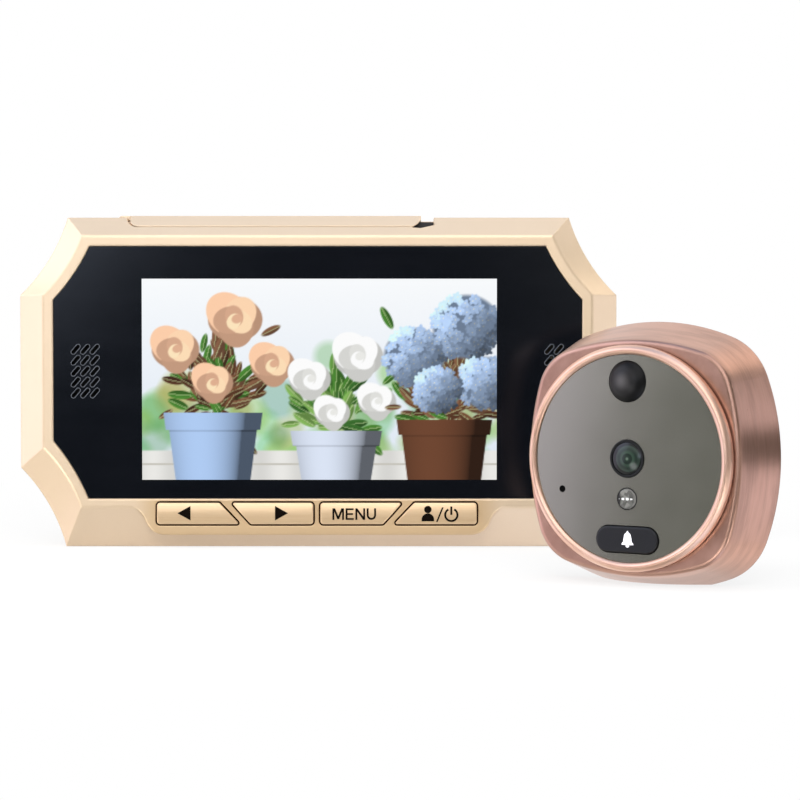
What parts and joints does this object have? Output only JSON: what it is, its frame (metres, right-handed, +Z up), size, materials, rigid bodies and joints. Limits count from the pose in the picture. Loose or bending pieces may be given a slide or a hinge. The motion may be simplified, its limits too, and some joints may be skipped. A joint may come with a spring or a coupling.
{
  "type": "peephole door camera",
  "caption": "Electronic door viewer: an octagonal indoor monitor with keys and a screen, and a small outdoor doorbell camera with a barrel for the door.",
  "frame": {"origin": "middle of the bottom face the monitor stands on, under the seam-side half of the front frame", "axes": "+X to the viewer's right, +Y from the screen towards the door, +Z up"},
  "size_m": [0.1886, 0.1312, 0.0893],
  "materials": {
    "champagne_gold": "satin champagne paint",
    "back_shell": "satin champagne plastic",
    "key_plate": "satin plated champagne",
    "window_black": "polished black acrylic",
    "inner_plastic": "moulded black",
    "white_plastic": "moulded white",
    "soft_foam": "closed cell foam",
    "black_rubber": "matte rubber",
    "steel": "bright zinc",
    "bracket_steel": "zinc plated sheet",
    "screen_glass": "lit screen",
    "board_green": "solder mask",
    "battery_foil": "aluminium foil wrap",
    "card_black": "moulded black",
    "copper_shell": "brushed copper anodised",
    "copper_ring": "polished copper anodised",
    "face_grey": "satin grey",
    "dome_black": "dark infrared plastic",
    "button_black": "gloss black",
    "barrel_black": "black anodised",
    "lens_glass": "coated glass",
    "clear_plastic": "clear acrylic",
    "emitter_white": "phosphor",
    "outdoor_back": "moulded black",
    "barrel_metal": "bright turned"
  },
  "bodies": {
    "monitor": {"front_bezel": "champagne_gold", "window_panel": "window_black", "window_tape": "soft_foam", "rear_cover": "back_shell", "cable_cup": "inner_plastic", "port_tray": "inner_plastic", "lid_pin": "steel", "power_switch_body": "inner_plastic", "usb_socket": "steel", "card_slot": "inner_plastic", "lcd_frame": "steel", "lcd_panel": "screen_glass", "backlight_unit": "white_plastic", "main_board": "board_green", "key_board": "board_green", "key_switches": "inner_plastic", "speaker": "inner_plastic", "speaker_gasket": "soft_foam", "microphone": "steel", "microphone_boot": "black_rubber", "battery_pack": "battery_foil", "battery_foam": "soft_foam", "case_screws": "steel", "cable_socket": "inner_plastic", "bracket_studs": "steel"},
    "key_back": {"key_back": "key_plate", "key_back_stem": "inner_plastic"},
    "key_forward": {"key_forward": "key_plate", "key_forward_stem": "inner_plastic"},
    "key_menu": {"key_menu": "key_plate", "key_menu_stem": "inner_plastic"},
    "key_power": {"key_power": "key_plate", "key_power_stem": "inner_plastic"},
    "port_lid": {"port_lid": "champagne_gold"},
    "power_switch_slider": {"power_switch_slider": "inner_plastic"},
    "memory_card": {"memory_card": "card_black"},
    "door_bracket": {"door_bracket": "bracket_steel"},
    "outdoor_unit": {"outdoor_shell": "copper_shell", "face_ring": "copper_ring", "face_plate": "face_grey", "motion_dome": "dome_black", "motion_sensor": "steel", "lens_barrel": "barrel_black", "front_lens": "lens_glass", "lens_holder": "inner_plastic", "light_lens": "clear_plastic", "light_reflector": "white_plastic", "light_emitter": "emitter_white", "bell_switch": "inner_plastic", "bell_boot": "black_rubber", "outdoor_board": "board_green", "outdoor_microphone": "steel", "outdoor_back_plate": "outdoor_back", "back_plate_screws": "steel", "barrel_tube": "barrel_metal", "cable_grommet": "black_rubber", "foam_gasket": "soft_foam"},
    "bell_button": {"bell_button": "button_black", "bell_stem": "inner_plastic"}
  },
  "joints": [
    {"name": "key_back_press", "type": "slide", "parent": "monitor", "child": "key_back", "axis": [0, 1, 0], "range_m": [0, 0.0006], "stiffness_N_per_m": 1500, "springref_m": -0.0002},
    {"name": "key_forward_press", "type": "slide", "parent": "monitor", "child": "key_forward", "axis": [0, 1, 0], "range_m": [0, 0.0006], "stiffness_N_per_m": 1500, "springref_m": -0.0002},
    {"name": "key_menu_press", "type": "slide", "parent": "monitor", "child": "key_menu", "axis": [0, 1, 0], "range_m": [0, 0.0006], "stiffness_N_per_m": 1500, "springref_m": -0.0002},
    {"name": "key_power_press", "type": "slide", "parent": "monitor", "child": "key_power", "axis": [0, 1, 0], "range_m": [0, 0.0006], "stiffness_N_per_m": 1500, "springref_m": -0.0002},
    {"name": "port_lid_hinge", "type": "hinge", "parent": "monitor", "child": "port_lid", "pos_m": [-0.0529, 0.0015, 0.0882], "axis": [0, -1, 0], "range_deg": [0, 100]},
    {"name": "power_switch_slide", "type": "slide", "parent": "monitor", "child": "power_switch_slider", "axis": [1, 0, 0], "range_m": [0, 0.002]},
    {"name": "memory_card_slide", "type": "slide", "parent": "monitor", "child": "memory_card", "axis": [0, 0, 1], "range_m": [-0.0008, 0.003]},
    {"name": "door_bracket_slide", "type": "slide", "parent": "monitor", "child": "door_bracket", "axis": [0, 0, 1], "range_m": [-0.008, 0]},
    {"name": "outdoor_unit_place", "type": "slide", "parent": "monitor", "child": "outdoor_unit", "axis": [1, 0, 0], "range_m": [0, 0.06]},
    {"name": "bell_button_press", "type": "slide", "parent": "outdoor_unit", "child": "bell_button", "axis": [0.5519, 0.8339, 0], "range_m": [0, 0.0005], "stiffness_N_per_m": 1500, "springref_m": -0.0002}
  ]
}
